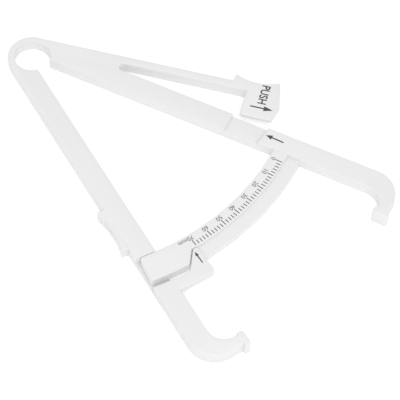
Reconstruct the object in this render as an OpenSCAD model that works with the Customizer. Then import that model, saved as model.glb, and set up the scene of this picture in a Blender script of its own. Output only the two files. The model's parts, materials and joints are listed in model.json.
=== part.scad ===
// Skinfold caliper: two arms moulded in one with a spring loop, a graduated arc that slides
// through a guide, and a press lever whose pad meets a mark on the arm. It lies flat, +Z up.
// Origin: axis of the loop, on the underside. +X runs through the fixed jaw's contact face.

/* [Arms] */
// Width of both arms, seen from above
arm_w = 8.4; // [6:0.1:9.5]
// Thickness of the arms, the loop and the lever
arm_t = 5; // [4.2:0.1:7]
// Half the gap between the arms' inner edges beside the loop, with the jaws shut
half_gap = 1.1; // [0.8:0.1:2.5]
// Angle between each arm and the line on which the jaws meet
toe_deg = 3.7; // [2.5:0.1:5]
// Angle between the jaws when the stop block rests on the pointer
open_deg = 27.9; // [20:0.1:30]

/* [Spring loop] */
// Wall of the loop that joins the two arms
loop_wall = 2.4; // [1.2:0.1:3]
// Rounding of the corner between an arm's inner edge and the loop's bore
root_round = 1; // [0.4:0.1:1.4]

/* [Jaws] */
// Distance from the loop's axis to the middle of a contact face
reach = 152.1; // [140:0.5:200]
// Length of a contact face along the jaw line
head_w = 6.1; // [4.8:0.1:8]
// Depth of the head behind its contact face
head_d = 2.6; // [2:0.1:3.2]
// Height of the head
head_h = 6.4; // [5.2:0.1:8]
// Rounding of the head's corners
head_round = 0.9; // [0.3:0.1:1.2]
// Width of the neck that carries the head
neck_w = 4.05; // [3:0.05:4.6]
// How far the middle of the neck lies beyond the middle of the head
neck_shift = -0.2; // [-0.6:0.1:0.6]
// Outside radius of the hooked end
hook_out_r = 10.6; // [8.6:0.1:12.8]
// Inside radius of the hooked end
hook_in_r = 7.5; // [6:0.1:9]
// Length over which the hook's top rises to the height of the head
hook_rise = 8; // [5:0.5:12]

/* [Graduated arc] */
// Inside radius of the arc
arc_r = 103.8; // [98:0.1:126]
// Width of the arc
arc_w = 11; // [8.5:0.1:12]
// Width of the raised band that carries the graduations
band_w = 5.9; // [4.4:0.1:6.5]
// Thickness of the arc beside the raised band
flange_t = 2.05; // [1.2:0.05:2.4]
// Angle by which the stop block reaches past the fixed jaw's contact line
stop_deg = 8; // [7:0.1:8.6]
// Rounding of the stop block's leading corner
stop_round = 1.5; // [0.5:0.1:2.5]

/* [Guide and pointer] */
// Thickness of the floor under the arc
floor_t = 0.8; // [0.6:0.05:1.2]
// Sliding gap round the arc and under the press pad
slide_gap = 0.25; // [0.2:0.05:0.4]
// Gap between the arc's outer edge and the wall of the guide
guide_gap = 2.7; // [2.2:0.1:5]
// Width of the bracket that carries the pointer
bracket_w = 4.8; // [3:0.1:6]
// Thickness of the bracket
bracket_t = 2.6; // [1.8:0.1:3.4]
// Height of the pointer's upper edge above the fixed jaw's contact line
pointer_top = 6.2; // [4.5:0.1:6.8]
// Height of the pointer's blunt tip
pointer_tip = 1.9; // [1:0.1:2.6]
// Slope of the pointer's lower edge
pointer_rake = 38.7; // [32:0.1:44]
// Gap between the pointer and the stop block at rest
stop_gap = 0.4; // [0.2:0.05:0.8]
// Rounding of the bracket's outer corner
bracket_round = 1.5; // [0.5:0.1:2.2]

/* [Finger grip] */
// Distance from the loop's axis to the near end of the grip
grip_x = 78.2; // [60:0.1:80]
// Length of the grip
grip_l = 19.8; // [16:0.1:23]
// How far the ends of the grip stand out from the arm
grip_h = 2.7; // [1.9:0.1:3.2]
// Depth of the hollow between the ends
grip_dip = 1.5; // [0.6:0.1:1.7]
// Rounding of the grip's ends
grip_round = 0.7; // [0.3:0.1:0.9]
// Length of the near end, before the hollow
grip_nub = 1.5; // [1:0.1:3]
// Number of ribs in the hollow
rib_n = 7; // [3:1:8]
// Spacing of the ribs
rib_pitch = 1.45; // [1:0.05:1.6]
// Radius of a rib
rib_r = 0.35; // [0.2:0.05:0.5]

/* [Press lever] */
// Distance along the arm from the loop's axis to the root of the slot
fork_x = 34.6; // [28:0.1:42]
// Width of the lever, seen from above
lever_w = 3.6; // [2.4:0.1:4]
// Angle between the lever and its arm at rest, which is also its travel
lever_deg = 11.15; // [9:0.05:12]
// Length of the stretch that flexes
flex_l = 12; // [8:0.5:18]
// Distance from the slot's root to the point about which the lever turns
flex_pivot = 2; // [0:0.5:5]

/* [Press pad] */
// Distance along the lever from the loop's axis to the pad's near edge
pad_x = 85.4; // [75:0.1:95]
// Greatest width of the pad along the lever
pad_w = 14.3; // [11:0.1:15]
// How far the pad reaches from the lever's inner edge towards the arm
pad_drop = 12; // [9:0.1:13]
// Distance from the lever's inner edge to the pad's widest point
pad_knee = 5; // [3:0.1:7]
// How far the pad's far edge leans out between the seat and its widest point
pad_lean = 2.3; // [0:0.1:3]
// Rounding of the pad's near corner
pad_round = 1.1; // [0.5:0.1:1.8]
// Length of the bevelled far corner along the pad's lower edge
pad_cut = 1.9; // [1:0.1:3]
// Thickness of the pad
pad_t = 1.55; // [1:0.05:2]
// Length of the thumb seat ahead of the pad's near edge
seat_lead = 6; // [4:0.1:8]
// How far the seat's ends stand above the lever's outer edge
seat_h = 3.3; // [2:0.1:4]
// Depth of the thumb hollow
seat_dip = 2; // [1:0.1:2.6]
// Length of the flat at each end of the thumb hollow
seat_land = 0.9; // [0.5:0.1:1.5]
// Gap between the pad and the step of its recess when it is pressed
press_gap = 0.35; // [0.3:0.05:0.8]

/* [Hidden] */
$fn = 180;
arc_fn = 720;
far = 400;
white = [0.93, 0.93, 0.93];

// Loop and arms: the arms' outer edges are tangent to the loop
loop_r = half_gap + arm_w;
bore_r = loop_r - loop_wall;

// Hook, as drawn for an arm on the +Y side of the contact line
neck_out_x = reach + neck_shift + neck_w / 2;
neck_in_x = reach + neck_shift - neck_w / 2;
hook_out_c = hook_centre(neck_out_x, hook_out_r, loop_r);
hook_in_c = hook_centre(neck_in_x, hook_in_r, half_gap);
hook_x = min(along_arm(hook_out_c), along_arm(hook_in_c));
contact_gap = 0.05;

// Arc and guide
arc_out_r = arc_r + arc_w;
band_out_r = arc_r + band_w;
arc_z = floor_t + slide_gap;
flange_z = arc_z + flange_t;
guide_in_r = arc_r - slide_gap;
guide_out_r = arc_out_r + guide_gap;
pointer_r = band_out_r + slide_gap;
pointer_z = flange_z + slide_gap;
pointer_low = pointer_top - pointer_tip;
pointer_corner = [sqrt(pointer_r * pointer_r - pointer_low * pointer_low), pointer_low];
bracket_out_x = guide_out_r + bracket_w;
bracket_z = arm_t - bracket_t;

// A rounding between two edges cuts this far into both, so that it never only touches them
root_bite = 0.02;

// Slot between the arm and the lever, with a round root that runs into both edges
lever_in = loop_r - lever_w;
apex_x = (loop_r - lever_in / cos(lever_deg)) / tan(lever_deg);
slot_run = fork_x - apex_x;
slot_r = slot_run * tan(lever_deg / 2);
slot_c = [fork_x, loop_r + slot_r];
lever_root = apex_x * cos(lever_deg) + loop_r * sin(lever_deg) + slot_run;
flex_end = lever_root + flex_l;
pivot_u = lever_root + flex_pivot;
pivot_v = loop_r - lever_w / 2;

// Pad and the recess that it drops over: pressed, the lever lies parallel to the arm
// and the far wall of the recess is struck about the point on which the lever turns
pivot = lever_point(pivot_u, pivot_v);
pad_end = pad_x + pad_w;
pad_low = lever_in - pad_drop;
pad_wide_v = lever_in - pad_knee;
land_r = norm([pad_end - pivot_u, pad_wide_v - pivot_v]) + press_gap;
recess_x = pivot[0] + pad_x - pivot_u - press_gap;
land_x = pivot[0] + sqrt(land_r * land_r - pow(loop_r - pivot[1], 2));
pad_z = arm_t - pad_t;
recess_z = pad_z - slide_gap;
// Length over which the step's upper edge runs into the arm ahead of it
step_lap = 1;
seat_x = pad_x - seat_lead;
seat_top = loop_r + seat_h;
seat_end = pad_end - pad_lean;

// Corner where an arm's inner edge meets the loop's bore, in the arm's frame
root_y = half_gap + root_round - root_bite;
root_c = [sqrt(pow(bore_r + root_round - root_bite, 2) - root_y * root_y), root_y];

function hook_centre(x_side, r, edge) =
    let (x = x_side - r) [x, (edge - r + x * sin(toe_deg)) / cos(toe_deg)];
// A point given along and across the lever, in the arm's frame
function lever_point(u, v) =
    [u * cos(lever_deg) - v * sin(lever_deg), u * sin(lever_deg) + v * cos(lever_deg)];
function along_arm(p) = p[0] * cos(toe_deg) + p[1] * sin(toe_deg);
// Radius of a circle that cuts a chord to a depth
function dip_r(chord, dip) = (chord * chord / 4 + dip * dip) / (2 * dip);

// Frames: each arm is drawn on the +Y side of the contact line, then placed
module on_fixed() mirror([0, 1, 0]) children();
module on_moving() rotate([0, 0, open_deg]) children();
module arm_frame() rotate([0, 0, toe_deg]) children();
module lever_frame() arm_frame() rotate([0, 0, lever_deg]) children();

// A stretch of arm between two stations, in the arm's frame
module strip(x0, x1) translate([x0, half_gap]) square([x1 - x0, arm_w]);

module disc(r) circle(r = r, $fn = arc_fn);

module ring(r0, r1) difference() {
    disc(r1);
    disc(r0);
}

module round_rect(size, r) {
    translate([r, 0]) square([size[0] - 2 * r, size[1]]);
    translate([0, r]) square([size[0], size[1] - 2 * r]);
    for (x = [r, size[0] - r], y = [r, size[1] - r]) translate([x, y]) circle(r = r);
}

// A tab with its two upper corners rounded
module tab(l, h, r) {
    square([l, h - r]);
    translate([r, 0]) square([l - 2 * r, h]);
    for (x = [r, l - r]) translate([x, h - r]) circle(r = r);
}

// What the rounding takes off the corner beside the bore
module root_corner() arm_frame() difference() {
    polygon([[0, 0], [root_c[0], 0], root_c]);
    translate(root_c) circle(r = root_round);
}

// Everything inside an arm's inner edge, in the arm's frame
module inside_edge() translate([-far, half_gap - far]) square([2 * far, far]);

// Either side of the pointer's sloping edge, in the fixed frame
module above_rake(shift) translate(pointer_corner) rotate(-pointer_rake) translate([-far, shift])
    square([2 * far, far]);
module below_rake(shift) translate(pointer_corner) rotate(-pointer_rake) translate([-far, shift - far])
    square([2 * far, far]);

module hook_outline() difference() {
    union() {
        arm_frame() translate([hook_x, half_gap - arm_w]) square([along_arm(hook_out_c) - hook_x, 2 * arm_w]);
        intersection() {
            translate(hook_out_c) circle(r = hook_out_r);
            arm_frame() translate([hook_x, -far]) square([far, 2 * far]);
        }
        translate([neck_in_x - 1, head_d]) square([neck_w + 1, hook_out_c[1] - head_d]);
    }
    translate(hook_in_c) circle(r = hook_in_r);
    translate([hook_in_c[0] - far, hook_in_c[1] - far]) square([far + hook_in_r, far]);
    arm_frame() translate([-far, half_gap - far]) square([far + along_arm(hook_in_c), far]);
    translate([0, head_d - far]) square([far, far]);
}

// The hook's top slopes up to the taller head
module jaw() difference() {
    linear_extrude(head_h) hook_outline();
    rotate([90, 0, 90]) linear_extrude(far)
        polygon([[head_d, head_h], [head_d + hook_rise, arm_t], [far, arm_t], [far, far], [head_d, far]]);
}

module jaw_head() translate([reach - head_w / 2, head_d, 0]) mirror([0, 1, 0]) linear_extrude(head_h)
    tab(head_w, head_d - contact_gap, head_round);

module fixed_arm_beam() color(white) on_fixed() linear_extrude(arm_t) difference() {
    intersection() {
        arm_frame() strip(0, far);
        disc(guide_in_r);
    }
    circle(r = bore_r);
    root_corner();
}

// Grip outline, in the arm's frame, with a hollow and ribs for a fingertip
module grip_outline() {
    hollow_x0 = grip_x + grip_nub;
    hollow_x1 = grip_x + grip_l - grip_round;
    r = dip_r(hollow_x1 - hollow_x0, grip_dip);
    centre = [(hollow_x0 + hollow_x1) / 2, loop_r + grip_h - grip_dip + r];
    difference() {
        translate([grip_x, loop_r]) tab(grip_l, grip_h, grip_round);
        translate(centre) disc(r);
    }
    for (i = [0 : rib_n - 1]) {
        turn = asin((hollow_x0 + (i + 0.7) * rib_pitch - centre[0]) / r);
        translate(centre + r * [sin(turn), -cos(turn)]) circle(r = rib_r);
    }
}

module finger_grip() color(white) on_fixed() arm_frame() linear_extrude(arm_t) grip_outline();

module guide_floor() color(white) on_fixed() linear_extrude(floor_t) intersection() {
    arm_frame() strip(0, far);
    ring(guide_in_r, guide_out_r);
}

module fixed_arm_front() color(white) on_fixed() linear_extrude(arm_t) difference() {
    arm_frame() strip(arc_r, hook_x);
    disc(guide_out_r);
}

module fixed_jaw() color(white) on_fixed() jaw();

module fixed_jaw_head() color(white) on_fixed() jaw_head();

module pointer_bracket() color(white) translate([0, 0, bracket_z]) linear_extrude(bracket_t) difference() {
    translate([arc_r, -far / 2]) round_rect([bracket_out_x - arc_r, far / 2 + pointer_top], bracket_round);
    disc(guide_out_r);
    mirror([0, 1]) arm_frame() translate([-far, half_gap]) square([2 * far, far]);
    on_fixed() hook_outline();
}

module scale_pointer() color(white) translate([0, 0, pointer_z])
    linear_extrude(arm_t - pointer_z) intersection() {
    ring(pointer_r, guide_out_r);
    translate([0, -far + pointer_top]) square([far, far]);
    above_rake(0);
}

// The loop runs from the lever's tangent point round to the fixed arm
module hinge_loop() color(white) linear_extrude(arm_t) difference() {
    circle(r = loop_r);
    circle(r = bore_r);
    on_moving() lever_frame() translate([0, -far]) square([far, 2 * far]);
    mirror([0, 1]) arm_frame() translate([0, -far]) square([far, 2 * far]);
}

module moving_arm_web() color(white) on_moving() linear_extrude(arm_t) difference() {
    arm_frame() polygon([[0, 0], [0, half_gap], [fork_x, half_gap], [fork_x, loop_r], slot_c,
                         lever_point(lever_root, lever_in), lever_point(lever_root, loop_r),
                         lever_point(0, loop_r)]);
    circle(r = bore_r);
    root_corner();
    arm_frame() translate(slot_c) circle(r = slot_r + root_bite);
}

module moving_arm_beam() color(white) on_moving() arm_frame() linear_extrude(arm_t) strip(fork_x, recess_x);

module recess_web() color(white) on_moving() arm_frame() linear_extrude(recess_z) strip(recess_x, land_x);

module moving_arm_front() color(white) on_moving() arm_frame() {
    linear_extrude(arm_t) strip(land_x, hook_x);
    translate([0, 0, recess_z]) linear_extrude(arm_t - recess_z) difference() {
        strip(recess_x, land_x + step_lap);
        translate(pivot) disc(land_r);
    }
}

module moving_jaw() color(white) on_moving() jaw();

module moving_jaw_head() color(white) on_moving() jaw_head();

// The arc between the stop block and the moving arm, out to a radius
module arc_outline(r1) intersection() {
    ring(arc_r, r1);
    above_rake(-stop_gap);
    on_moving() arm_frame() inside_edge();
    square([far, far]);
}

module scale_arc_base() color(white) translate([0, 0, arc_z]) linear_extrude(flange_t) arc_outline(arc_out_r);

module scale_band() color(white) translate([0, 0, flange_z]) linear_extrude(arm_t - flange_z)
    arc_outline(band_out_r);

module stop_block() color(white) translate([0, 0, arc_z]) linear_extrude(arm_t - arc_z) difference() {
    intersection() {
        ring(arc_r, arc_out_r);
        below_rake(-stop_gap);
        rotate(-stop_deg) square([far, far]);
    }
    rotate(-stop_deg) difference() {
        translate([arc_r - 1, -1]) square([1 + stop_round, 1 + stop_round]);
        translate([arc_r + stop_round, stop_round]) circle(r = stop_round);
    }
}

module lever_flexure() color(white) on_moving() lever_frame() linear_extrude(arm_t)
    translate([lever_root, lever_in]) square([flex_l, lever_w]);

module lever_beam() color(white) on_moving() lever_frame() linear_extrude(arm_t)
    translate([flex_end, lever_in]) square([seat_x - flex_end, lever_w]);

// Where the pad's far edge lies at a height above the loop's axis, in the lever's frame
function far_edge(v) = pad_end - pad_lean * (v - pad_wide_v) / (seat_top - pad_wide_v);

// Thumb seat, in the lever's frame: a block with a hollow, above the lever's inner edge
module seat_outline() {
    r = dip_r(seat_end - seat_x - 2 * seat_land, seat_dip);
    difference() {
        polygon([[seat_x, lever_in], [far_edge(lever_in), lever_in], [seat_end, seat_top],
                 [seat_x, seat_top]]);
        translate([(seat_x + seat_end) / 2, seat_top - seat_dip + r]) disc(r);
    }
}

module press_pad() color(white) on_moving() lever_frame() translate([0, 0, pad_z]) linear_extrude(pad_t) {
    seat_outline();
    polygon([[pad_x, lever_in + 1], [pad_x, pad_low + pad_round], [pad_x + pad_round, pad_low + pad_round],
             [pad_x + pad_round, pad_low], [pad_end - pad_cut, pad_low], [pad_end, pad_wide_v],
             [far_edge(lever_in + 1), lever_in + 1]]);
    translate([pad_x + pad_round, pad_low + pad_round]) circle(r = pad_round);
}

module thumb_block() color(white) on_moving() lever_frame() linear_extrude(pad_z) seat_outline();

fixed_arm_beam();
finger_grip();
guide_floor();
fixed_arm_front();
fixed_jaw();
fixed_jaw_head();
pointer_bracket();
scale_pointer();
hinge_loop();
moving_arm_web();
moving_arm_beam();
recess_web();
moving_arm_front();
moving_jaw();
moving_jaw_head();
scale_arc_base();
scale_band();
stop_block();
lever_flexure();
lever_beam();
press_pad();
thumb_block();
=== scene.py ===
"""Skinfold caliper: the looks of a moulded skinfold caliper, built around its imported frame.

Every node of the frame is shown as a moulding with rounded edges. An edge that meets another node
stays square, so the plastic runs on across the joint as it does on the real, one-piece moulding.
"""

import json
import math

import bmesh
import bpy
import numpy as np
from bpy.props import FloatProperty, FloatVectorProperty, IntProperty, PointerProperty, StringProperty
from mathutils import Matrix, Vector
from mathutils.bvhtree import BVHTree


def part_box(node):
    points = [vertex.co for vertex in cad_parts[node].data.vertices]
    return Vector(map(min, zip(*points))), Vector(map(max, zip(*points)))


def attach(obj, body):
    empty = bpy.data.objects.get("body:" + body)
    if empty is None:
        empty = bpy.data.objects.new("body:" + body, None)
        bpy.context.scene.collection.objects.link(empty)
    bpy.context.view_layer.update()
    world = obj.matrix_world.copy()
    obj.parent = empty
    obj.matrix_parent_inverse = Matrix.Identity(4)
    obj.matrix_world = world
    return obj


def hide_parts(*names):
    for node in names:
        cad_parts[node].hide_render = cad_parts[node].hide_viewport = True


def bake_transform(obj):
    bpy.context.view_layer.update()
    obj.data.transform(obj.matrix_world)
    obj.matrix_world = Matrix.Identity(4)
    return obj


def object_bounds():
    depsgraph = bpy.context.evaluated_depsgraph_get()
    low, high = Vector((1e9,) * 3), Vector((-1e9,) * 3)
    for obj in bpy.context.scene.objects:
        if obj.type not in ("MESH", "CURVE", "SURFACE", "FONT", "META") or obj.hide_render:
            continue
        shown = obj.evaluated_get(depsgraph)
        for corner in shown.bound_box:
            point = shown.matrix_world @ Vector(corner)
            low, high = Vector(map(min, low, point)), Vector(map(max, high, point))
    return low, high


bl_info = {
    "name": "Skinfold Caliper",
    "version": (1, 0, 0),
    "blender": (4, 5, 0),
    "location": "View3D > Sidebar > Caliper",
    "description": "Dresses the packed frame of a skinfold caliper in moulded plastic and print",
    "category": "Object",
}

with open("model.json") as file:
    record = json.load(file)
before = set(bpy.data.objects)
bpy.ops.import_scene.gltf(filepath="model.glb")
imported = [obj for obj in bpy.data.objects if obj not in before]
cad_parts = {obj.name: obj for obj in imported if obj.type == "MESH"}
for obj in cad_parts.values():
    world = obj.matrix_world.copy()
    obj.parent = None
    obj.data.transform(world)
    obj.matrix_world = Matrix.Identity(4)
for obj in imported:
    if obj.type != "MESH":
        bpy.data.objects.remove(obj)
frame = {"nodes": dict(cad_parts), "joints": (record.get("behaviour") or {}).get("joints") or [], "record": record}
CAD_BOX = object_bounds()
JOINTS = {joint["name"]: joint for joint in frame["joints"]}
MOUNTS = {mount["name"]: mount for mount in frame["record"]["mounts"]}
MM = 0.001

# The part's own sizes that its pieces are placed by
OPEN = math.radians(JOINTS["jaw_hinge"]["range_deg"][1])
PRESS = math.radians(JOINTS["lever_press"]["range_deg"][1])
TOE = math.radians(3.7)
BORE = MOUNTS["hang_loop"]["dims"]["r_mm"] * MM
ARM_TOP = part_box("fixed_arm_beam")[1].z
LOOP_WALL = 2.4 * MM
LOOP_OUT = BORE + LOOP_WALL
LEVER_ROOT = 36.103 * MM
FLEX_END = 48.103 * MM
LEVER_MID = 7.7 * MM

# Frames that turn with the pieces, as they lie at rest
MOVING_JAW = Matrix.Rotation(OPEN, 4, "Z")
LEVER = Matrix.Rotation(OPEN + TOE + PRESS, 4, "Z")
FIXED_ARM = Matrix.Rotation(-TOE, 4, "Z") @ Matrix.Scale(-1, 4, (0, 1, 0))

# How meshes are read: corners this near are one, faces this flat are joined, edges over SHARP are rounded
WELD = 0.015 * MM
TEXT_WELD = 1e-7
CUT_WELD = 1e-8
FLAT = math.radians(0.3)
SHARP = math.radians(32)

# How edges are rounded: how near a neighbour covers one, and the shortest stretches that it is cut into
TOUCH = 0.04 * MM
STUB = 0.08 * MM
RUNOUT = 0.12 * MM
ROUND_STEPS = 3

# The ray of the inside test, and how far past a face it starts again
PROBE = Vector((0.36, 0.48, 0.8))
PAST_HIT = 1e-7

# Steps on the arcs of the finger grip, and on the bar that a rib is made from
CORNER_STEPS = 6
HOLLOW_STEPS = 32
RIB_SIDES = 20
RIB_STEPS = 24
FIRST_RIB = 0.7  # of the rib spacing, from the near end of the hollow

# The scale: what a graduation and the step between figures stand for, and how far the unit follows
TICK_VALUE = 2
FIGURE_VALUE = 10
LONG_EVERY = 5
UNIT_OFFSET = 3.3 * MM

# Letters: half their depth before they are scaled, steps on their curves, and how the pad's word lies
HALF_DEPTH = 0.5
TEXT_STEPS = 4
WORD_PLACE = (92.5 * MM, 5.4 * MM, 0)
WORD_WEIGHT = 0.02

# Printed arrows: tail, tip, length of the head, half its width and width of the shaft, in millimetres
POINTER_ARROW = ((116.9, 4.0), (111.4, 4.1), 1.9, 0.7, 0.45)
ARM_ARROW = ((105.3, 12.3), (97.8, 12.1), 2.6, 1.1, 0.6)
PAD_ARROW = ((88.5, -1.2), (97.5, -1.2), 3.6, 1.2, 0.6)

# The floor and the lamp, in metres
FLOOR_HALF = 4.0
FLOOR_CELLS = 8
FLOOR_GAP = 0.02 * MM
LAMP_SIZE = 0.9
LAMP_FROM_PART = Vector((0.5, -0.25, 0.95))

# The camera, which was fitted to the outline of the whole caliper in the photo
CAMERA_TARGET = Vector((90.04, 20.44, 0)) * MM
CAMERA_ANGLES = (54.667, 55.072, 2.869)  # azimuth, elevation and roll, in degrees
CAMERA_DISTANCE = 758.1  # in millimetres
FOCAL_PIXELS = 2007.6
PHOTO_PIXELS = 400
SENSOR_WIDTH = 36

# Noise of the materials, in features to the metre
CLOUDS = 55.0
RIPPLE = 110.0
SPECKLE = 1900.0
GRAIN = 3200.0
PATCHES = 420.0
SPECKS = 5200.0
FIBRE = 900.0

# Relief of the materials, in metres
GRAIN_HEIGHT = 4e-6
RIPPLE_HEIGHT = 1.2e-5
SPECK_HEIGHT = 3e-6

# What the noise does to colour and roughness
PLASTIC_SHADE = 0.972
FLOOR_SHADE = 0.985
CLOUD_TINT, SPECKLE_TINT = 0.8, 0.2
CLOUD_SHEEN, SPECKLE_SHEEN, MEAN_SHEEN = 0.07, 0.05, 0.06
SPECK_INK, PATCH_INK, INK_POWER = 0.55, 0.45, 2.5
THIN_INK = 0.06
INK_ROUGHNESS, PATCH_ROUGHNESS = 0.48, 0.12
FLOOR_ROUGHNESS, FLOOR_SPECULAR = 0.85, 0.1
PLASTIC_IOR = 1.49

LONGEST = 200.0  # millimetres that a size may be set to
WHITE = (1, 1, 1, 1)


def length(name, about, millimetres):
    """A size that a user may change, in metres."""
    return FloatProperty(name=name, description=about, default=millimetres * MM, min=0.0,
                         max=LONGEST * MM, unit="LENGTH", subtype="DISTANCE", precision=5)


def colour(name, about, grey):
    """A colour that a user may change."""
    return FloatVectorProperty(name=name, description=about, default=(grey, grey, grey), min=0.0, max=1.0,
                               size=3, subtype="COLOR")


class CaliperMoulding(bpy.types.PropertyGroup):
    """Sizes of the moulding that the frame leaves to the looks"""

    edge: length("Edge rounding", "Rounding of the upper and upright edges", 0.45)
    foot: length("Foot rounding", "Rounding of the lower edges", 0.2)
    pad_edge: length("Pad rounding", "Rounding of the press pad's edges", 0.6)
    head_edge: length("Head rounding", "Rounding of the contact heads' edges", 0.5)
    bends: IntProperty(name="Bends", description="Steps along the stretch of the lever that flexes",
                       default=24, min=4, max=64)
    loop_steps: IntProperty(name="Loop steps", description="Steps round the spring loop",
                            default=240, min=16, max=512)


class CaliperGrip(bpy.types.PropertyGroup):
    """Sizes of the finger grip on the fixed arm"""

    start: length("Start", "Distance from the loop's axis to the near end of the grip", 78.2)
    span: length("Length", "Length of the grip", 19.8)
    height: length("Height", "How far the grip's ends stand out from the arm", 2.7)
    dip: length("Dip", "Depth of the hollow between the ends", 1.5)
    corner: length("Corner", "Rounding of the grip's ends", 0.7)
    nub: length("Nub", "Length of the near end, before the hollow", 1.5)
    ribs: IntProperty(name="Ribs", description="Number of ribs in the hollow", default=7, min=0, max=12)
    pitch: length("Rib spacing", "Spacing of the ribs along the hollow", 1.45)
    rib: length("Rib radius", "Radius of a rib", 0.35)
    rib_end: length("Rib end", "Rounding at a rib's ends", 0.25)
    inset: length("Rib inset", "How far a rib ends below the grip's upper face", 0.08)


class CaliperPrint(bpy.types.PropertyGroup):
    """Sizes of the printed scale and marks"""

    ink: length("Ink", "How far the print stands up from the plastic", 0.02)
    sink: length("Ink root", "How far the print reaches into the plastic", 0.01)
    ticks: IntProperty(name="Ticks", description="Number of graduations", default=36, min=2, max=80)
    tick_step: FloatProperty(name="Tick step", description="Angle from one graduation to the next",
                             default=math.radians(0.7614), subtype="ANGLE")
    first_tick: FloatProperty(name="First tick", default=math.radians(2.0), subtype="ANGLE",
                              description="Angle of the first graduation past the moving jaw")
    tick_out: length("Tick end", "Radius on which every graduation ends", 109.3)
    tick_short: length("Short tick", "Length of a short graduation", 1.8)
    tick_long: length("Long tick", "Length of every fifth graduation", 2.6)
    tick_width: length("Tick width", "Width of a graduation", 0.34)
    figure_radius: length("Figure radius", "Radius of the circle through the figures", 105.6)
    figure_height: length("Figure height", "Height of the figures", 1.75)
    word: StringProperty(name="Word", description="Word that is printed on the press pad", default="PUSH")
    word_height: length("Word height", "Height of the word's capitals", 3.4)
    word_length: length("Word length", "Length of the word", 9.2)


class CaliperFinish(bpy.types.PropertyGroup):
    """Colours of the caliper, and the light on it"""

    plastic: colour("Plastic", "Colour of the moulded plastic", 0.8)
    ink: colour("Ink", "Colour of the print", 0.055)
    floor: colour("Floor", "Colour of the floor", 0.7)
    sheen: FloatProperty(name="Plastic roughness", description="Mean roughness of the plastic",
                         default=0.42, min=0.0, max=1.0)
    sky: FloatProperty(name="Sky", description="Strength of the light from all round",
                       default=0.79, min=0.0)
    lamp: FloatProperty(name="Lamp", description="Power of the soft lamp",
                        default=4.5, min=0.0, unit="POWER")
    glow: FloatProperty(name="Floor glow", description="Light that the floor gives off by itself",
                        default=0.37, min=0.0)


# ------------------------------------------------------------------ node trees


class Value:
    """A socket of a node tree. Sums on it, written in Python, add their Math nodes to the tree."""

    def __init__(self, tree, socket):
        self.tree = tree
        self.socket = socket

    def __add__(self, other):
        return self.tree.maths("ADD", self, other)

    def __radd__(self, other):
        return self.tree.maths("ADD", other, self)

    def __sub__(self, other):
        return self.tree.maths("SUBTRACT", self, other)

    def __rsub__(self, other):
        return self.tree.maths("SUBTRACT", other, self)

    def __mul__(self, other):
        return self.tree.maths("MULTIPLY", self, other)

    def __truediv__(self, other):
        return self.tree.maths("DIVIDE", self, other)

    def __mod__(self, other):
        return self.tree.maths("MODULO", self, other)

    def __pow__(self, other):
        return self.tree.maths("POWER", self, other)


class Tree:
    """A node tree that is filled by method calls and by sums on the values they return."""

    def __init__(self, node_tree):
        self.nodes = node_tree.nodes
        self.links = node_tree.links

    def add(self, kind, settings=None, sockets=None):
        """Adds a node: its settings first, then what its sockets hold or are linked to."""
        node = self.nodes.new(kind)
        for name, setting in (settings or {}).items():
            setattr(node, name, setting)
        for name, given in (sockets or {}).items():
            if isinstance(given, Value):
                self.links.new(given.socket, node.inputs[name])
            else:
                node.inputs[name].default_value = given
        return Outputs(self, node)

    def maths(self, operation, *given):
        """Adds a Math node."""
        return self.add("ShaderNodeMath", {"operation": operation}, dict(enumerate(given)))["Value"]

    def vector(self, x=0.0, y=0.0, z=0.0):
        """Makes a vector of three numbers or values."""
        return self.add("ShaderNodeCombineXYZ", None, {"X": x, "Y": y, "Z": z})["Vector"]

    def position(self):
        """The position of each point, as the outputs X, Y and Z."""
        where = self.add("GeometryNodeInputPosition")["Position"]
        return self.add("ShaderNodeSeparateXYZ", None, {"Vector": where})

    def noise(self, where, scale, detail=2.0):
        """Noise from 0 to 1 at a number of features to the metre."""
        return self.add("ShaderNodeTexNoise", None,
                        {"Vector": where, "Scale": scale, "Detail": detail})[0]

    def bump(self, height):
        """The normal on a relief of a height in metres."""
        return self.add("ShaderNodeBump", None,
                        {"Strength": 1.0, "Distance": 1.0, "Height": height})["Normal"]

    def mix(self, factor, one, other):
        """A colour between two."""
        return self.add("ShaderNodeMix", {"data_type": "RGBA"}, {0: factor, 6: one, 7: other})[2]


class Outputs:
    """The output sockets of a node, by name or number."""

    def __init__(self, tree, node):
        self.tree = tree
        self.node = node

    def __getitem__(self, name):
        return Value(self.tree, self.node.outputs[name])


def opaque(grey):
    """A colour with its alpha."""
    return (*grey, 1.0)


def darker(grey, share):
    """A colour with a share of its light."""
    return tuple(channel * share for channel in grey)


def surface(name, build):
    """A material by name. It is built once, by a function that gets its tree and shader."""
    made = bpy.data.materials.get(name)
    if made is None:
        made = bpy.data.materials.new(name)
        made.use_nodes = True
        made.node_tree.nodes.clear()
        tree = Tree(made.node_tree)
        shader = build(tree, bpy.context.scene.caliper_finish)
        tree.add("ShaderNodeOutputMaterial", None, {"Surface": shader})
    return made


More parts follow.
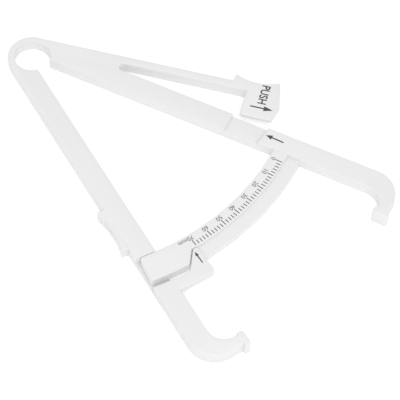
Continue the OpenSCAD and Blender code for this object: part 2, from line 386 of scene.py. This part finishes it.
def plastic_shader(tree, finish):
    """Satin moulded plastic: faint clouds from the melt, a fine grain from the mould, an uneven sheen."""
    where = tree.add("ShaderNodeTexCoord")["Object"]
    clouds = tree.noise(where, CLOUDS, detail=3.0)
    speckle = tree.noise(where, SPECKLE)
    grain = tree.noise(where, GRAIN)
    ripple = tree.noise(where, RIPPLE, detail=1.0)
    tint = tree.mix(clouds * CLOUD_TINT + speckle * SPECKLE_TINT,
                    opaque(darker(finish.plastic, PLASTIC_SHADE)), opaque(finish.plastic))
    sheen = finish.sheen - MEAN_SHEEN + clouds * CLOUD_SHEEN + speckle * SPECKLE_SHEEN
    bump = tree.bump(grain * GRAIN_HEIGHT + ripple * RIPPLE_HEIGHT)
    return tree.add("ShaderNodeBsdfPrincipled", None,
                    {"Base Color": tint, "Roughness": sheen, "IOR": PLASTIC_IOR, "Normal": bump})["BSDF"]


def ink_shader(tree, finish):
    """Printed ink: nearly black, thinner in specks, on the grain of the plastic."""
    where = tree.add("ShaderNodeTexCoord")["Object"]
    specks = tree.noise(where, SPECKS)
    patches = tree.noise(where, PATCHES)
    thin = (specks * SPECK_INK + patches * PATCH_INK) ** INK_POWER
    tint = tree.mix(thin, opaque(finish.ink), opaque(tuple(channel + THIN_INK for channel in finish.ink)))
    sheen = INK_ROUGHNESS + patches * PATCH_ROUGHNESS
    bump = tree.bump(specks * SPECK_HEIGHT)
    return tree.add("ShaderNodeBsdfPrincipled", None,
                    {"Base Color": tint, "Roughness": sheen, "Normal": bump})["BSDF"]


def floor_shader(tree, finish):
    """Matt pale card, lit a little from below as on a light table."""
    where = tree.add("ShaderNodeTexCoord")["Object"]
    fibre = tree.noise(where, FIBRE)
    tint = tree.mix(fibre, opaque(darker(finish.floor, FLOOR_SHADE)), opaque(finish.floor))
    return tree.add("ShaderNodeBsdfPrincipled", None,
                    {"Base Color": tint, "Roughness": FLOOR_ROUGHNESS, "Specular IOR Level": FLOOR_SPECULAR,
                     "Emission Color": WHITE, "Emission Strength": finish.glow})["BSDF"]


def plastic():
    """The material of every moulded piece."""
    return surface("moulded_white_plastic", plastic_shader)


def print_ink():
    """The material of every printed piece."""
    return surface("printed_black_ink", ink_shader)


def growth(name, inputs):
    """An empty geometry node tree with named inputs, given as name and socket type."""
    group = bpy.data.node_groups.new(name, "GeometryNodeTree")
    group.interface.new_socket("Geometry", in_out="OUTPUT", socket_type="NodeSocketGeometry")
    for label, kind in inputs.items():
        group.interface.new_socket(label, in_out="INPUT", socket_type="NodeSocket" + kind)
    tree = Tree(group)
    return group, tree, tree.add("NodeGroupInput")


def close_growth(tree, geometry, material):
    """Ends a geometry node tree: instances are made real and get their material."""
    real = tree.add("GeometryNodeRealizeInstances", None, {"Geometry": geometry})["Geometry"]
    done = tree.add("GeometryNodeSetMaterial", None, {"Geometry": real, "Material": material})["Geometry"]
    tree.add("NodeGroupOutput", None, {"Geometry": done})


def plain_mesh(name, holder):
    """The evaluated mesh of an object, which is removed."""
    mesh = bpy.data.meshes.new_from_object(holder.evaluated_get(bpy.context.evaluated_depsgraph_get()))
    mesh.name = name
    bpy.data.objects.remove(holder)
    return mesh


def grown(name, group, values):
    """The plain mesh that a geometry node tree makes from values for its named inputs."""
    holder = bpy.data.objects.new(name, bpy.data.meshes.new(name))
    modifier = holder.modifiers.new(name, "NODES")
    modifier.node_group = group
    for socket in group.interface.items_tree:
        if socket.in_out == "INPUT":
            modifier[socket.identifier] = values[socket.name]
    bpy.context.scene.collection.objects.link(holder)
    return plain_mesh(name, holder)


# ------------------------------------------------------------------ forms and pieces


def piece(name, mesh, body=None, stands_for=()):
    """Adds a finished mesh to the scene. It rides on a body and may stand for nodes of the frame."""
    made = bpy.data.objects.new(name, mesh)
    bpy.context.scene.collection.objects.link(made)
    if stands_for:
        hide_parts(*stands_for)
    if body:
        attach(made, body)
    return made


def need_closed(name, form):
    """Raises an error if a form is open or inside out."""
    if any(not edge.is_manifold for edge in form.edges) or form.calc_volume(signed=True) <= 0:
        raise RuntimeError(f"{name} isn't a closed form with its faces outwards")


def close_mesh(name, form, mesh):
    """Moves a closed form into a mesh, smooth apart from its sharp edges."""
    need_closed(name, form)
    form.to_mesh(mesh)
    form.free()
    mesh.shade_smooth()
    mesh.set_sharp_from_angle(angle=SHARP)


def welded(node):
    """The form of a node of the frame, with its loose triangles welded and its flat faces joined."""
    form = bmesh.new()
    form.from_mesh(frame["nodes"][node].data)
    bmesh.ops.remove_doubles(form, verts=form.verts, dist=WELD)
    bmesh.ops.dissolve_limit(form, angle_limit=FLAT, use_dissolve_boundaries=False,
                             verts=form.verts, edges=form.edges)
    return form


def solids():
    """Each node of the frame as a tree for ray casts and an array of its corners, made once."""
    if not solids.made:
        for node in frame["nodes"]:
            form = welded(node)
            corners = np.array([corner.co for corner in form.verts])
            solids.made[node] = (BVHTree.FromBMesh(form), corners)
            form.free()
    return solids.made


solids.made = {}


def holds(tree, point):
    """Whether a point lies inside a solid, from how many of its faces a line out of it crosses."""
    crossed = 0
    hit = tree.ray_cast(point, PROBE)[0]
    while hit is not None:
        crossed += 1
        hit = tree.ray_cast(hit + PROBE * PAST_HIT, PROBE)[0]
    return crossed % 2 == 1


def neighbours(own, form):
    """The solids whose boxes come near a form, apart from the nodes that it stands for."""
    corners = np.array([corner.co for corner in form.verts])
    low, high = corners.min(0) - TOUCH, corners.max(0) + TOUCH
    return [solid for node, solid in solids().items()
            if node not in own and np.all(solid[1].min(0) < high) and np.all(solid[1].max(0) > low)]


def is_sharp(edge):
    """Whether an edge is an outer one and sharp enough to be rounded."""
    return edge.is_manifold and edge.is_convex and edge.calc_face_angle() > SHARP


def cut_at_corners(form, near):
    """Cuts each sharp edge where a neighbour's corner lies on it, so that no stretch is partly covered."""
    if not near:
        return
    corners = np.concatenate([solid[1] for solid in near])
    for edge in [edge for edge in form.edges if is_sharp(edge)]:
        first, last = edge.verts
        run = np.array(last.co - first.co)
        span = np.linalg.norm(run)
        share = (corners - np.array(first.co)) @ run / span**2
        off = np.linalg.norm(corners - np.array(first.co) - share[:, None] * run, axis=1)
        inside = (off < TOUCH) & (share * span > STUB) & ((1 - share) * span > STUB)
        # A short stretch on each side of a corner keeps a rounding that ends there from running on
        cuts = [cut + side * RUNOUT / span for cut in share[inside] for side in (-1, 0, 1)]
        done = 0.0
        for cut in sorted(cuts):
            if (cut - done) * span < STUB or (1 - cut) * span < STUB:
                continue
            edge, corner = bmesh.utils.edge_split(edge, first, (cut - done) / (1 - done))
            edge = next(e for e in corner.link_edges if last in e.verts)
            first, done = corner, cut


def is_covered(edge, near):
    """Whether a neighbour lies against either face of an edge."""
    middle = (edge.verts[0].co + edge.verts[1].co) / 2
    for loop in edge.link_loops:
        along = (loop.link_loop_next.vert.co - loop.vert.co).normalized()
        normal = loop.face.normal
        point = middle + normal.cross(along) * (2 * TOUCH) + normal * TOUCH
        if any(holds(solid[0], point) for solid in near):
            return True
    return False


def rounded(name, form, own, upper, lower, material):
    """A plain mesh of a form whose free sharp edges are rounded, the lowest by a radius of their own."""
    near = neighbours(own, form)
    cut_at_corners(form, near)
    weights = form.edges.layers.float.new("bevel_weight_edge")
    foot = min(corner.co.z for corner in form.verts) + TOUCH
    for edge in form.edges:
        sharp = edge.calc_face_angle() > SHARP
        free = sharp and edge.is_convex and not is_covered(edge, near)
        low = max(corner.co.z for corner in edge.verts) < foot
        edge[weights] = (lower / upper if low else 1.0) if free else 0.0
        edge.smooth = free or not sharp
    for face in form.faces:
        face.smooth = True
    mesh = bpy.data.meshes.new(name)
    form.to_mesh(mesh)
    holder = bpy.data.objects.new(name, mesh)
    bpy.context.scene.collection.objects.link(holder)
    bevel = holder.modifiers.new("Rounding", "BEVEL")
    bevel.limit_method = "WEIGHT"
    bevel.width = upper
    bevel.segments = ROUND_STEPS
    bevel.use_clamp_overlap = False
    bevel.harden_normals = True
    made = plain_mesh(name, holder)
    made.materials.clear()
    made.materials.append(material)
    check = bmesh.new()
    check.from_mesh(made)
    need_closed(name, check)
    check.free()
    form.free()
    return made


def mould(node, body, radius, lower):
    """Shows a node of the frame as a moulding with rounded edges."""
    mesh = rounded(node + "_moulding", welded(node), (node,), radius, lower, plastic())
    return piece(node + "_moulding", mesh, body, (node,))


def prism(outline, low, high, place):
    """A closed form that stands on an outline, between two heights, put in place by a matrix."""
    form = bmesh.new()
    foot = form.faces.new([form.verts.new((x, y, low)) for x, y in outline])
    raised = bmesh.ops.extrude_face_region(form, geom=[foot])["geom"]
    top = [made for made in raised if isinstance(made, bmesh.types.BMVert)]
    bmesh.ops.translate(form, vec=(0, 0, high - low), verts=top)
    bmesh.ops.transform(form, matrix=place, verts=form.verts)
    bmesh.ops.recalc_face_normals(form, faces=form.faces)
    return form


def arc(centre, radius, start, end, steps):
    """Points on an arc, both ends included."""
    return [(centre[0] + radius * math.cos(start + (end - start) * i / steps),
             centre[1] + radius * math.sin(start + (end - start) * i / steps)) for i in range(steps + 1)]


def printed(name, forms, body):
    """A piece of print, from closed forms that are joined in one mesh."""
    whole = bmesh.new()
    for form in forms:
        part = bpy.data.meshes.new("part")
        form.to_mesh(part)
        whole.from_mesh(part)
        bpy.data.meshes.remove(part)
        form.free()
    need_closed(name, whole)
    mesh = bpy.data.meshes.new(name)
    whole.to_mesh(mesh)
    whole.free()
    mesh.materials.append(print_ink())
    return piece(name, mesh, body)


def ink_depth():
    """The lowest and highest level of the print on the upper faces."""
    size = bpy.context.scene.caliper_print
    return ARM_TOP - size.sink, ARM_TOP + size.ink


def lettering(text, height, place, span=None, weight=0.0):
    """A closed form of a line of text with capitals of a height, centred on the origin of a place."""
    def outline(body):
        curve = bpy.data.curves.new("lettering", "FONT")
        curve.body = body
        curve.extrude = HALF_DEPTH
        curve.offset = weight
        curve.resolution_u = TEXT_STEPS
        holder = bpy.data.objects.new("lettering", curve)
        bpy.context.scene.collection.objects.link(holder)
        mesh = plain_mesh("lettering", holder)
        bpy.data.curves.remove(curve)
        corners = np.array([v.co for v in mesh.vertices])
        return mesh, corners.min(0), corners.max(0)

    capital, low, high = outline("H")
    bpy.data.meshes.remove(capital)
    scale = height / (high[1] - low[1])
    middle = (low[1] + high[1]) / 2
    mesh, low, high = outline(text)
    stretch = span / (high[0] - low[0]) if span else scale
    bottom, top = ink_depth()
    form = bmesh.new()
    form.from_mesh(mesh)
    bpy.data.meshes.remove(mesh)
    bmesh.ops.translate(form, vec=(-(low[0] + high[0]) / 2, -middle, HALF_DEPTH), verts=form.verts)
    bmesh.ops.scale(form, vec=(stretch, scale, top - bottom), verts=form.verts)
    bmesh.ops.translate(form, vec=(0, 0, bottom), verts=form.verts)
    bmesh.ops.transform(form, matrix=place, verts=form.verts)
    bmesh.ops.remove_doubles(form, verts=form.verts, dist=TEXT_WELD)
    bmesh.ops.recalc_face_normals(form, faces=form.faces)
    return form


def arrow(tail, tip, head, half_head, shaft, place):
    """A closed form of an arrow from tail to tip, on the upper faces."""
    tail, tip = Vector(tail) * MM, Vector(tip) * MM
    along = (tip - tail).normalized()
    aside = Vector((-along.y, along.x))
    neck = tip - along * head * MM
    half, wing = aside * shaft * MM / 2, aside * half_head * MM
    outline = [tail - half, neck - half, neck - wing, tip, neck + wing, neck + half, tail + half]
    return prism([tuple(point) for point in outline], *ink_depth(), place)


# ------------------------------------------------------------------ operators


class CALIPER_OT_fixed_side(bpy.types.Operator):
    """Moulds the fixed arm, its guide, its jaw and its pointer"""

    bl_idname = "caliper.fixed_side"
    bl_label = "Fixed side"

    def execute(self, context):
        size = context.scene.caliper_moulding
        for node in ("fixed_arm_beam", "guide_floor", "fixed_arm_front", "fixed_jaw", "pointer_bracket",
                     "scale_pointer"):
            mould(node, "fixed_arm", size.edge, size.foot)
        mould("fixed_jaw_head", "fixed_arm", size.head_edge, size.foot)
        return {"FINISHED"}


class CALIPER_OT_finger_grip(bpy.types.Operator):
    """Moulds the hollow finger grip and grows its ribs"""

    bl_idname = "caliper.finger_grip"
    bl_label = "Finger grip"

    def execute(self, context):
        grip = context.scene.caliper_grip
        size = context.scene.caliper_moulding
        top = LOOP_OUT + grip.height
        near, far = grip.start + grip.nub, grip.start + grip.span - grip.corner
        radius = ((far - near) ** 2 / 4 + grip.dip**2) / (2 * grip.dip)
        centre = ((near + far) / 2, top - grip.dip + radius)
        swing = math.asin((far - near) / 2 / radius)
        outline = [(grip.start, LOOP_OUT)]
        outline += arc((grip.start + grip.corner, top - grip.corner), grip.corner, math.pi, math.pi / 2,
                       CORNER_STEPS)
        outline += arc(centre, radius, -math.pi / 2 - swing, -math.pi / 2 + swing, HOLLOW_STEPS)
        outline += arc((far, top - grip.corner), grip.corner, math.pi / 2, 0, CORNER_STEPS)[1:]
        outline += [(grip.start + grip.span, LOOP_OUT)]
        form = prism(outline, 0, ARM_TOP, FIXED_ARM)
        mesh = rounded("finger_grip_moulding", form, ("finger_grip",), size.edge, size.foot, plastic())
        piece("finger_grip_moulding", mesh, "fixed_arm", ("finger_grip",))

        group, tree, given = growth("Grip ribs", {
            "Count": "Int", "Start": "Float", "Pitch": "Float", "Centre X": "Float", "Centre Y": "Float",
            "Hollow Radius": "Float", "Rib Radius": "Float", "Rib End": "Float", "Height": "Float",
            "Material": "Material"})
        bar = tree.add("GeometryNodeMeshCylinder", None,
                       {"Vertices": RIB_SIDES, "Side Segments": RIB_STEPS, "Radius": given["Rib Radius"],
                        "Depth": 1.0})["Mesh"]
        at = tree.position()
        # The steps of the bar crowd towards its ends, where a quarter circle draws it in
        share = 1 - (1 - tree.maths("ABSOLUTE", at["Z"]) * 2) ** 2
        level = tree.maths("SIGN", at["Z"]) * share * given["Height"] / 2
        past = tree.maths("ABSOLUTE", level) - given["Height"] / 2 + given["Rib End"]
        past = tree.maths("MAXIMUM", past, 0.0)
        past = tree.maths("MINIMUM", past / given["Rib End"], 1.0)
        draw = 1 - given["Rib End"] / given["Rib Radius"] * (1 - tree.maths("SQRT", 1 - past * past))
        drawn = tree.vector(at["X"] * draw, at["Y"] * draw, level)
        bar = tree.add("GeometryNodeSetPosition", None, {"Geometry": bar, "Position": drawn})["Geometry"]
        index = tree.add("GeometryNodeInputIndex")["Index"]
        x = given["Start"] + (index + FIRST_RIB) * given["Pitch"]
        reach = given["Hollow Radius"] * given["Hollow Radius"] - (x - given["Centre X"]) ** 2
        y = given["Centre Y"] - tree.maths("SQRT", reach)
        points = tree.add("GeometryNodePoints", None,
                          {"Count": given["Count"], "Position": tree.vector(x, y)})
        bars = tree.add("GeometryNodeInstanceOnPoints", None, {"Points": points["Points"], "Instance": bar})
        close_growth(tree, bars["Instances"], given["Material"])
        ribs = grown("grip_ribs", group, {
            "Count": grip.ribs, "Start": near, "Pitch": grip.pitch, "Centre X": centre[0],
            "Centre Y": centre[1], "Hollow Radius": radius, "Rib Radius": grip.rib,
            "Rib End": grip.rib_end, "Height": ARM_TOP - 2 * grip.inset, "Material": plastic()})
        form = bmesh.new()
        form.from_mesh(ribs)
        bmesh.ops.translate(form, vec=(0, 0, ARM_TOP / 2), verts=form.verts)
        bmesh.ops.transform(form, matrix=FIXED_ARM, verts=form.verts)
        bmesh.ops.recalc_face_normals(form, faces=form.faces)
        close_mesh("grip_ribs", form, ribs)
        piece("grip_ribs", ribs, "fixed_arm")
        return {"FINISHED"}


class CALIPER_OT_moving_side(bpy.types.Operator):
    """Moulds the moving arm, its recess, its jaw, the arc and the stop block"""

    bl_idname = "caliper.moving_side"
    bl_label = "Moving side"

    def execute(self, context):
        size = context.scene.caliper_moulding
        for node in ("moving_arm_web", "moving_arm_beam", "recess_web", "moving_arm_front", "moving_jaw",
                     "scale_arc_base", "scale_band", "stop_block"):
            mould(node, "moving_arm", size.edge, size.foot)
        mould("moving_jaw_head", "moving_arm", size.head_edge, size.foot)
        return {"FINISHED"}


class CALIPER_OT_press_lever(bpy.types.Operator):
    """Moulds the lever, its thumb block and its pad"""

    bl_idname = "caliper.press_lever"
    bl_label = "Press lever"

    def execute(self, context):
        size = context.scene.caliper_moulding
        mould("lever_beam", "press_lever", size.edge, size.foot)
        mould("thumb_block", "press_lever", size.edge, size.foot)
        mould("press_pad", "press_lever", size.pad_edge, size.foot)
        return {"FINISHED"}


class CALIPER_OT_spring_loop(bpy.types.Operator):
    """Sweeps the spring loop between the arms"""

    bl_idname = "caliper.spring_loop"
    bl_label = "Spring loop"

    def execute(self, context):
        size = context.scene.caliper_moulding
        start = OPEN + TOE + PRESS + math.pi / 2
        end = 3 * math.pi / 2 - TOE
        group, tree, given = growth("Spring loop", {
            "Mid Radius": "Float", "Wall": "Float", "Height": "Float", "Rounding": "Float", "Foot": "Float",
            "Start": "Float", "Sweep": "Float", "Steps": "Int", "Material": "Material"})
        path = tree.add("GeometryNodeCurveArc", {"mode": "RADIUS"},
                        {"Resolution": given["Steps"], "Radius": given["Mid Radius"],
                         "Start Angle": given["Start"], "Sweep Angle": given["Sweep"]})["Curve"]
        section = tree.add("GeometryNodeCurvePrimitiveQuadrilateral", {"mode": "RECTANGLE"},
                           {"Width": given["Wall"], "Height": given["Height"]})["Curve"]
        upper = tree.maths("GREATER_THAN", tree.position()["Y"], 0.0)
        rounding = given["Foot"] + (given["Rounding"] - given["Foot"]) * upper
        section = tree.add("GeometryNodeFilletCurve", {"mode": "POLY"},
                           {"Curve": section, "Radius": rounding, "Count": ROUND_STEPS})["Curve"]
        strip = tree.add("GeometryNodeCurveToMesh", None,
                         {"Curve": path, "Profile Curve": section, "Fill Caps": True})["Mesh"]
        lift = tree.vector(z=given["Height"] / 2)
        raised = tree.add("GeometryNodeTransform", None,
                          {"Geometry": strip, "Translation": lift})["Geometry"]
        close_growth(tree, raised, given["Material"])
        middle = BORE + LOOP_WALL / 2
        mesh = grown("spring_loop", group, {
            "Mid Radius": middle, "Wall": LOOP_WALL, "Height": ARM_TOP, "Rounding": size.edge,
            "Foot": size.foot, "Start": start, "Sweep": end - start, "Steps": size.loop_steps,
            "Material": plastic()})
        form = bmesh.new()
        form.from_mesh(mesh)
        bmesh.ops.remove_doubles(form, verts=form.verts, dist=WELD)
        bmesh.ops.recalc_face_normals(form, faces=form.faces)
        close_mesh("spring_loop", form, mesh)
        loop = piece("spring_loop", mesh, stands_for=("hinge_loop",))
        # Points half a wall in from each end of the loop, where each end face is still square to its arm; nothing
        # uses them
        fixed_end = Vector((math.cos(end), math.sin(end), 0)) * middle
        moving_end = Vector((math.cos(start), math.sin(start), 0)) * middle
        across = (moving_end - fixed_end).normalized() * LOOP_WALL / 2
        fixed_end + across
        moving_end - across
        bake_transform(loop)
        return {"FINISHED"}


class CALIPER_OT_lever_flexure(bpy.types.Operator):
    """Moulds the root of the lever between the arm and the lever, cut in steps along its length"""

    bl_idname = "caliper.lever_flexure"
    bl_label = "Lever flexure"

    def execute(self, context):
        size = context.scene.caliper_moulding
        mesh = rounded("lever_flexure_moulding", welded("lever_flexure"), ("lever_flexure",),
                       size.edge, size.foot, plastic())
        form = bmesh.new()
        form.from_mesh(mesh)
        along = LEVER.to_3x3() @ Vector((1, 0, 0))
        root, tip = (LEVER @ Vector((x, LEVER_MID, 0)) for x in (LEVER_ROOT, FLEX_END))
        for i in range(1, size.bends):
            bmesh.ops.bisect_plane(form, geom=form.verts[:] + form.edges[:] + form.faces[:],
                                   dist=CUT_WELD, plane_co=root.lerp(tip, i / size.bends), plane_no=along)
        close_mesh("lever_flexure_moulding", form, mesh)
        flexure = piece("lever_flexure_moulding", mesh, stands_for=("lever_flexure",))
        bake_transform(flexure)
        return {"FINISHED"}


class CALIPER_OT_scale(bpy.types.Operator):
    """Prints the graduations and their figures on the arc"""

    bl_idname = "caliper.scale"
    bl_label = "Scale"

    def execute(self, context):
        size = context.scene.caliper_print
        first = OPEN + size.first_tick
        group, tree, given = growth("Scale ticks", {
            "Count": "Int", "First Angle": "Float", "Step Angle": "Float", "Outer Radius": "Float",
            "Short": "Float", "Long": "Float", "Long Every": "Int", "Width": "Float", "Low": "Float",
            "High": "Float", "Material": "Material"})
        index = tree.add("GeometryNodeInputIndex")["Index"]
        turn = given["First Angle"] - index * given["Step Angle"]
        is_long = tree.maths("COMPARE", index % given["Long Every"], 0.0, 0.5)
        run = given["Short"] + (given["Long"] - given["Short"]) * is_long
        radius = given["Outer Radius"] - run / 2
        level = (given["Low"] + given["High"]) / 2
        spot = tree.vector(radius * tree.maths("COSINE", turn), radius * tree.maths("SINE", turn), level)
        points = tree.add("GeometryNodePoints", None, {"Count": given["Count"], "Position": spot})["Points"]
        # Run and turn belong to the points, so they are stored on them before the bars are placed
        stored = points
        read = {}
        for name, value in (("run", run), ("turn", turn)):
            stored = tree.add("GeometryNodeStoreNamedAttribute", {"data_type": "FLOAT", "domain": "POINT"},
                              {"Geometry": stored, "Name": name, "Value": value})["Geometry"]
            read[name] = tree.add("GeometryNodeInputNamedAttribute", {"data_type": "FLOAT"},
                                  {"Name": name})["Attribute"]
        bar = tree.add("GeometryNodeMeshCube", None, {"Size": (1, 1, 1)})["Mesh"]
        bars = tree.add("GeometryNodeInstanceOnPoints", None, {
            "Points": stored, "Instance": bar, "Rotation": tree.vector(z=read["turn"]),
            "Scale": tree.vector(read["run"], given["Width"], given["High"] - given["Low"])})["Instances"]
        close_growth(tree, bars, given["Material"])
        low, high = ink_depth()
        mesh = grown("scale_ticks", group, {
            "Count": size.ticks, "First Angle": first, "Step Angle": size.tick_step,
            "Outer Radius": size.tick_out, "Short": size.tick_short, "Long": size.tick_long,
            "Long Every": LONG_EVERY, "Width": size.tick_width, "Low": low, "High": high,
            "Material": print_ink()})
        piece("scale_ticks", mesh, "moving_arm")

        forms = []
        for number in range(0, TICK_VALUE * size.ticks, FIGURE_VALUE):
            angle = first - size.tick_step * number / TICK_VALUE
            forms.append(self.figure(size, str(number), angle))
        unit_angle = angle - UNIT_OFFSET / size.figure_radius
        forms.append(self.figure(size, "mm", unit_angle))
        printed("scale_figures", forms, "moving_arm")
        return {"FINISHED"}

    def figure(self, size, text, angle):
        """A figure on the arc, with its top outwards."""
        place = Matrix.Rotation(angle, 4, "Z") @ Matrix.Translation((size.figure_radius, 0, 0))
        return lettering(text, size.figure_height, place @ Matrix.Rotation(-math.pi / 2, 4, "Z"))


class CALIPER_OT_marks(bpy.types.Operator):
    """Prints the arrows and the pad's word"""

    bl_idname = "caliper.marks"
    bl_label = "Marks"

    def execute(self, context):
        size = context.scene.caliper_print
        printed("pointer_mark", [arrow(*POINTER_ARROW, Matrix.Identity(4))], "fixed_arm")
        printed("arm_mark", [arrow(*ARM_ARROW, MOVING_JAW)], "moving_arm")
        printed("pad_mark", [arrow(*PAD_ARROW, LEVER)], "press_lever")
        place = LEVER @ Matrix.Translation(WORD_PLACE) @ Matrix.Rotation(-math.pi / 2, 4, "Z")
        word = lettering(size.word, size.word_height, place, size.word_length, WORD_WEIGHT)
        printed("pad_word", [word], "press_lever")
        return {"FINISHED"}


class CALIPER_OT_stage(bpy.types.Operator):
    """Makes the floor, the light and the camera"""

    bl_idname = "caliper.stage"
    bl_label = "Stage"

    def execute(self, context):
        scene = context.scene
        finish = scene.caliper_finish
        scene.view_settings.view_transform = "Standard"
        low, high = CAD_BOX
        middle = (low + high) / 2

        form = bmesh.new()
        bmesh.ops.create_grid(form, x_segments=FLOOR_CELLS, y_segments=FLOOR_CELLS, size=FLOOR_HALF)
        bmesh.ops.translate(form, vec=(middle.x, middle.y, low.z - FLOOR_GAP), verts=form.verts)
        mesh = bpy.data.meshes.new("floor")
        form.to_mesh(mesh)
        form.free()
        mesh.materials.append(surface("pale_floor", floor_shader))
        floor = bpy.data.objects.new("floor", mesh)
        scene.collection.objects.link(floor)

        world = bpy.data.worlds.new("soft_light")
        world.use_nodes = True
        world.node_tree.nodes.clear()
        tree = Tree(world.node_tree)
        sky = tree.add("ShaderNodeBackground", None, {"Color": WHITE, "Strength": finish.sky})
        tree.add("ShaderNodeOutputWorld", None, {"Surface": sky["Background"]})
        scene.world = world

        lamp = bpy.data.lights.new("soft_lamp", "AREA")
        lamp.shape = "DISK"
        lamp.size = LAMP_SIZE
        lamp.energy = finish.lamp
        hung = bpy.data.objects.new("soft_lamp", lamp)
        hung.location = middle + LAMP_FROM_PART
        hung.rotation_mode = "QUATERNION"
        hung.rotation_quaternion = (middle - hung.location).to_track_quat("-Z", "Y")
        scene.collection.objects.link(hung)

        azimuth, elevation, roll = (math.radians(degrees) for degrees in CAMERA_ANGLES)
        away = Vector((math.sin(azimuth) * math.cos(elevation), -math.cos(azimuth) * math.cos(elevation),
                       math.sin(elevation)))
        lens = bpy.data.cameras.new("camera")
        lens.sensor_width = SENSOR_WIDTH
        lens.lens = SENSOR_WIDTH * FOCAL_PIXELS / PHOTO_PIXELS
        camera = bpy.data.objects.new("camera", lens)
        camera.rotation_mode = "QUATERNION"
        camera.location = CAMERA_TARGET + away * CAMERA_DISTANCE * MM
        rolled = Matrix.Rotation(roll, 3, "Z").to_quaternion()
        camera.rotation_quaternion = (-away).to_track_quat("-Z", "Y") @ rolled
        scene.collection.objects.link(camera)
        scene.camera = camera
        return {"FINISHED"}


class CALIPER_PT_panel(bpy.types.Panel):
    """Lists the caliper's sizes and the operators that build it"""

    bl_idname = "CALIPER_PT_panel"
    bl_label = "Skinfold Caliper"
    bl_space_type = "VIEW_3D"
    bl_region_type = "UI"
    bl_category = "Caliper"

    def draw(self, context):
        for label, group in GROUPS.items():
            box = self.layout.box()
            box.label(text=label.replace("caliper_", "").capitalize())
            for name in group.__annotations__:
                box.prop(getattr(context.scene, label), name)
        for operator in OPERATORS:
            self.layout.operator(operator.bl_idname)


GROUPS = {"caliper_moulding": CaliperMoulding, "caliper_grip": CaliperGrip, "caliper_print": CaliperPrint,
          "caliper_finish": CaliperFinish}
OPERATORS = (CALIPER_OT_stage, CALIPER_OT_fixed_side, CALIPER_OT_finger_grip, CALIPER_OT_moving_side,
             CALIPER_OT_press_lever, CALIPER_OT_spring_loop, CALIPER_OT_lever_flexure, CALIPER_OT_scale,
             CALIPER_OT_marks)
CLASSES = (*GROUPS.values(), *OPERATORS, CALIPER_PT_panel)


def register():
    """Registers the classes and gives every scene the groups of sizes."""
    for cls in CLASSES:
        bpy.utils.register_class(cls)
    for name, group in GROUPS.items():
        setattr(bpy.types.Scene, name, PointerProperty(type=group))


def unregister():
    """Takes back what register did."""
    for name in GROUPS:
        delattr(bpy.types.Scene, name)
    for cls in reversed(CLASSES):
        bpy.utils.unregister_class(cls)


def main():
    """Builds the whole caliper."""
    register()
    for node in frame["nodes"].values():
        node.data.materials.clear()
        node.data.materials.append(plastic())
    for operator in OPERATORS:
        module, name = operator.bl_idname.split(".")
        getattr(getattr(bpy.ops, module), name)()


if __name__ == "__main__":
    main()
